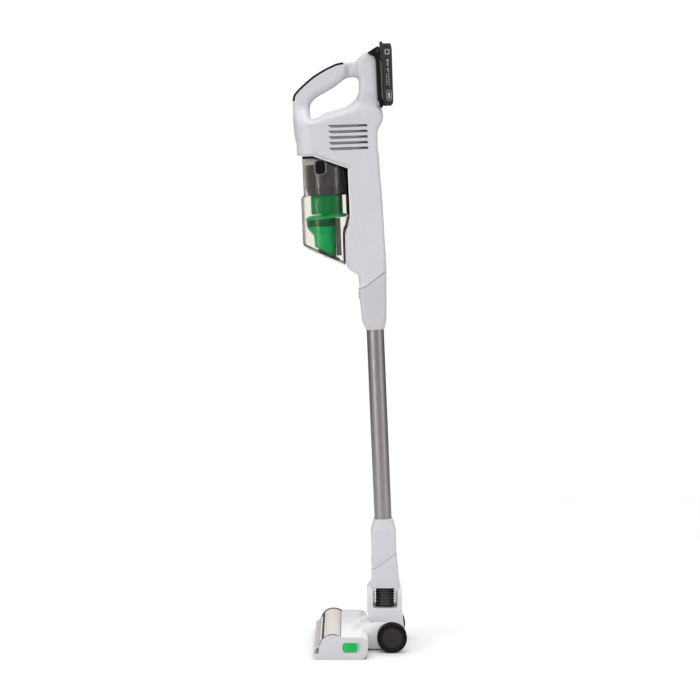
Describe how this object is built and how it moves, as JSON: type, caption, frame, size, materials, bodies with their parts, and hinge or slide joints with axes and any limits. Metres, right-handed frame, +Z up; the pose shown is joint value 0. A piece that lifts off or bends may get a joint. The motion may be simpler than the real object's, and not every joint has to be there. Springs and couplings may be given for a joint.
{
  "type": "cordless stick vacuum",
  "caption": "Upright cordless stick vacuum with a loop handle, clear dust bin, slide-on battery, metal wand and powered brush head on a swivel neck.",
  "frame": {"origin": "on the floor under the middle of the whole object's box", "axes": "+Z up, -Y is the front of the floor head, X is across the head"},
  "size_m": [0.236, 0.2107, 1.1215],
  "materials": {
    "white_plastic": "satin moulded white",
    "grey_plastic": "fine moulded grain",
    "dark_plastic": "fine moulded grain",
    "black_plastic": "fine moulded grain",
    "grip_rubber": "soft touch",
    "battery_plastic": "fine moulded grain",
    "green_plastic": "satin moulded green",
    "lime_plastic": "satin moulded bright green",
    "clear_smoke": "clear smoky plastic",
    "clear_cream": "clear plastic",
    "frosted": "frosted plastic",
    "tube_metal": "drawn and anodised",
    "steel": "ground",
    "tyre": "fine tread",
    "bristle": "nylon tufts",
    "filter_paper": "pleated paper",
    "motor_metal": "zinc plated",
    "board_green": "solder mask",
    "belt_rubber": "toothed belt",
    "hose_plastic": "ribbed hose",
    "cell_wrap": "shrink wrap"
  },
  "bodies": {
    "floor_head": {"head_cover": "white_plastic", "head_chassis": "grey_plastic", "sole_plate": "grey_plastic", "head_screws": "steel", "end_cap_left": "white_plastic", "end_cap_right": "white_plastic", "brush_window": "clear_cream", "window_strip": "black_plastic", "front_skirt": "frosted", "brush_bearings": "steel", "brush_motor": "motor_metal", "drive_belt": "belt_rubber", "stub_axles": "steel", "air_duct": "dark_plastic"},
    "brush": {"brush_core": "dark_plastic", "brush_bristles": "bristle"},
    "motor_pulley": {"motor_pulley": "motor_metal"},
    "brush_slider": {"brush_slider": "lime_plastic"},
    "wheel_left": {"wheel_left_hub": "dark_plastic", "wheel_left_tyre": "tyre"},
    "wheel_right": {"wheel_right_hub": "dark_plastic", "wheel_right_tyre": "tyre"},
    "yoke": {"yoke": "white_plastic", "swivel_pins": "steel"},
    "neck": {"neck": "white_plastic", "hose": "hose_plastic"},
    "wand": {"wand_lower_connector": "white_plastic", "wand_tube": "tube_metal", "wand_upper_connector": "white_plastic", "wand_wires": "dark_plastic"},
    "neck_button": {"neck_button": "white_plastic"},
    "wand_button": {"wand_button": "white_plastic"},
    "handheld": {"housing_left": "white_plastic", "housing_right": "white_plastic", "housing_screws": "steel", "handle_grip": "grip_rubber", "inlet_duct": "dark_plastic", "suction_motor": "motor_metal", "motor_mount": "grip_rubber", "control_board": "board_green", "battery_dock": "black_plastic", "terminal_block": "black_plastic"},
    "impeller": {"impeller": "grey_plastic"},
    "power_button": {"power_button": "grip_rubber"},
    "speed_button": {"speed_button": "grip_rubber"},
    "dust_bin": {"dust_bin": "clear_smoke", "hinge_pin": "steel", "filter_cup": "dark_plastic", "pleated_filter": "filter_paper", "cyclone_screen": "green_plastic", "cyclone_cone": "green_plastic"},
    "bin_door": {"bin_door": "clear_smoke"},
    "bin_latch_left": {"bin_latch_left": "black_plastic"},
    "bin_latch_right": {"bin_latch_right": "black_plastic"},
    "battery": {"battery_front_case": "battery_plastic", "battery_back_case": "battery_plastic", "battery_cells": "cell_wrap"},
    "battery_latch": {"battery_latch": "battery_plastic"}
  },
  "joints": [
    {"name": "head_pitch", "type": "hinge", "parent": "floor_head", "child": "yoke", "pos_m": [0, 0.0776, 0.0275], "axis": [-1, 0, 0], "range_deg": [0, 80]},
    {"name": "neck_swivel", "type": "hinge", "parent": "yoke", "child": "neck", "pos_m": [0, 0.065, 0.0954], "axis": [0, 1, 0], "range_deg": [-30, 30], "deforming": ["hose"]},
    {"name": "wand_lift", "type": "slide", "parent": "neck", "child": "wand", "axis": [0, -0.0425, 0.9991], "range_m": [0, 0.05]},
    {"name": "handheld_lift", "type": "slide", "parent": "wand", "child": "handheld", "axis": [0, -0.0425, 0.9991], "range_m": [0, 0.05]},
    {"name": "neck_button_press", "type": "slide", "parent": "wand", "child": "neck_button", "axis": [0, 0.9991, 0.0425], "range_m": [0, 0.0012], "stiffness_N_per_m": 600, "springref_m": -0.001},
    {"name": "wand_button_press", "type": "slide", "parent": "wand", "child": "wand_button", "axis": [0, 0.9991, 0.0425], "range_m": [0, 0.0015], "stiffness_N_per_m": 600, "springref_m": -0.001},
    {"name": "impeller_spin", "type": "hinge", "parent": "handheld", "child": "impeller", "pos_m": [0, -0.04797, 0.93616], "axis": [0, -0.0425, 0.9991], "continuous": true},
    {"name": "power_button_press", "type": "slide", "parent": "handheld", "child": "power_button", "axis": [0, 0.5212, -0.8535], "range_m": [0, 0.001], "stiffness_N_per_m": 400, "springref_m": -0.001},
    {"name": "speed_button_press", "type": "slide", "parent": "handheld", "child": "speed_button", "axis": [0, 0.5212, -0.8535], "range_m": [0, 0.001], "stiffness_N_per_m": 400, "springref_m": -0.001},
    {"name": "bin_slide", "type": "slide", "parent": "handheld", "child": "dust_bin", "axis": [0, -0.9991, -0.0425], "range_m": [0, 0.06]},
    {"name": "bin_door_swing", "type": "hinge", "parent": "dust_bin", "child": "bin_door", "pos_m": [0, -0.01002, 0.71447], "axis": [1, 0, 0], "range_deg": [0, 60]},
    {"name": "bin_latch_left_press", "type": "slide", "parent": "dust_bin", "child": "bin_latch_left", "axis": [-1, 0, 0], "range_m": [0, 0.002], "stiffness_N_per_m": 500, "springref_m": -0.001},
    {"name": "bin_latch_right_press", "type": "slide", "parent": "dust_bin", "child": "bin_latch_right", "axis": [1, 0, 0], "range_m": [0, 0.002], "stiffness_N_per_m": 500, "springref_m": -0.001},
    {"name": "battery_slide", "type": "slide", "parent": "handheld", "child": "battery", "axis": [0, -0.0425, 0.9991], "range_m": [0, 0.08]},
    {"name": "battery_latch_press", "type": "slide", "parent": "battery", "child": "battery_latch", "axis": [0, 0.0425, -0.9991], "range_m": [0, 0.003], "stiffness_N_per_m": 500, "springref_m": -0.001},
    {"name": "brush_spin", "type": "hinge", "parent": "floor_head", "child": "brush", "pos_m": [0, -0.0315, 0.02], "axis": [1, 0, 0], "continuous": true},
    {"name": "motor_pulley_spin", "type": "hinge", "parent": "floor_head", "child": "motor_pulley", "pos_m": [-0.09, 0.012, 0.018], "axis": [1, 0, 0], "continuous": true},
    {"name": "wheel_left_spin", "type": "hinge", "parent": "floor_head", "child": "wheel_left", "pos_m": [0.061, 0.0776, 0.0275], "axis": [1, 0, 0], "continuous": true},
    {"name": "wheel_right_spin", "type": "hinge", "parent": "floor_head", "child": "wheel_right", "pos_m": [-0.061, 0.0776, 0.0275], "axis": [1, 0, 0], "continuous": true},
    {"name": "brush_slider_move", "type": "slide", "parent": "floor_head", "child": "brush_slider", "axis": [0, 1, 0], "range_m": [0, 0.005]}
  ],
  "couplings": [
    {"joint": "motor_pulley_spin", "follows": "brush_spin", "ratio": 1.6}
  ]
}
